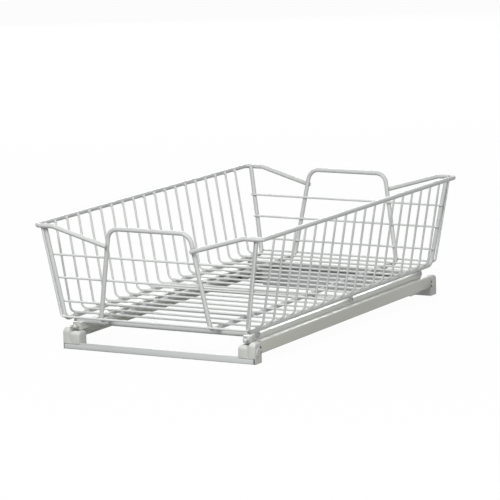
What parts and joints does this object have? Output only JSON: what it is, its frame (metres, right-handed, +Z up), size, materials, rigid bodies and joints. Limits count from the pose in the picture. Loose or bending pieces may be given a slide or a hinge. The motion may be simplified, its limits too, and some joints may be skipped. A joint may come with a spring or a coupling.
{
  "type": "pull out cabinet basket",
  "caption": "Low open wire basket with two wire handles that rolls out of a cabinet on a steel slide base screwed to the shelf.",
  "frame": {"origin": "on the cabinet floor under the middle of the basket", "axes": "+Z up, +X to the basket's right, the basket pulls out along -Y"},
  "size_m": [0.297, 0.5124, 0.1479],
  "materials": {
    "coated_rod": "smooth glossy light grey coat over steel rod",
    "coated_wire": "smooth glossy light grey coat over steel wire",
    "coated_tube": "smooth light grey coat over steel tube",
    "runner_steel": "light grey coat over folded sheet",
    "track_steel": "light grey coat over folded sheet, satin",
    "bar_steel": "light grey coat over folded sheet",
    "block_plastic": "off-white moulded plastic",
    "bumper_plastic": "off-white moulded plastic",
    "roller_nylon": "white nylon",
    "pin_steel": "plated steel"
  },
  "bodies": {
    "base": {"left_track": "track_steel", "right_track": "track_steel", "front_bar": "bar_steel", "rear_bar": "bar_steel", "front_left_block": "block_plastic", "front_right_block": "block_plastic", "rear_left_block": "block_plastic", "rear_right_block": "block_plastic", "front_roller_axles": "pin_steel"},
    "carriage": {"rear_roller_rivets": "pin_steel", "left_runner": "runner_steel", "right_runner": "runner_steel", "left_nose_bumper": "bumper_plastic", "right_nose_bumper": "bumper_plastic", "front_cross_tube": "coated_tube", "middle_cross_tube": "coated_tube", "rear_cross_tube": "coated_tube", "left_frame_wire": "coated_rod", "right_frame_wire": "coated_rod", "handle_loop": "coated_rod", "left_rim": "coated_rod", "right_rim": "coated_rod", "front_face_wire_1": "coated_wire", "front_face_wire_2": "coated_wire", "front_face_wire_3": "coated_wire", "rear_face_wire_1": "coated_wire", "rear_face_wire_2": "coated_wire", "rear_face_wire_3": "coated_wire", "cross_wire_01": "coated_wire", "cross_wire_02": "coated_wire", "cross_wire_03": "coated_wire", "cross_wire_04": "coated_wire", "cross_wire_05": "coated_wire", "cross_wire_06": "coated_wire", "cross_wire_07": "coated_wire", "cross_wire_08": "coated_wire", "cross_wire_09": "coated_wire", "cross_wire_10": "coated_wire", "cross_wire_11": "coated_wire", "cross_wire_12": "coated_wire", "cross_wire_13": "coated_wire", "cross_wire_14": "coated_wire", "cross_wire_15": "coated_wire", "cross_wire_16": "coated_wire", "cross_wire_17": "coated_wire", "cross_wire_18": "coated_wire", "cross_wire_19": "coated_wire", "cross_wire_20": "coated_wire"},
    "front_left_roller": {"front_left_roller": "roller_nylon"},
    "front_right_roller": {"front_right_roller": "roller_nylon"},
    "rear_left_roller": {"rear_left_roller": "roller_nylon"},
    "rear_right_roller": {"rear_right_roller": "roller_nylon"}
  },
  "joints": [
    {"name": "basket_slide", "type": "slide", "parent": "base", "child": "carriage", "axis": [0, -1, 0], "range_m": [0, 0.36]},
    {"name": "front_left_roller_spin", "type": "hinge", "parent": "base", "child": "front_left_roller", "pos_m": [-0.1108, -0.2215, 0.0153], "axis": [1, 0, 0], "continuous": true},
    {"name": "rear_left_roller_spin", "type": "hinge", "parent": "carriage", "child": "rear_left_roller", "pos_m": [-0.119, 0.196, 0.0173], "axis": [1, 0, 0], "continuous": true},
    {"name": "front_right_roller_spin", "type": "hinge", "parent": "base", "child": "front_right_roller", "pos_m": [0.1108, -0.2215, 0.0153], "axis": [1, 0, 0], "continuous": true},
    {"name": "rear_right_roller_spin", "type": "hinge", "parent": "carriage", "child": "rear_right_roller", "pos_m": [0.119, 0.196, 0.0173], "axis": [1, 0, 0], "continuous": true}
  ],
  "couplings": [
    {"joint": "front_left_roller_spin", "follows": "basket_slide", "rad_per_m": 166.67},
    {"joint": "rear_left_roller_spin", "follows": "basket_slide", "rad_per_m": 166.67},
    {"joint": "front_right_roller_spin", "follows": "basket_slide", "rad_per_m": 166.67},
    {"joint": "rear_right_roller_spin", "follows": "basket_slide", "rad_per_m": 166.67}
  ]
}
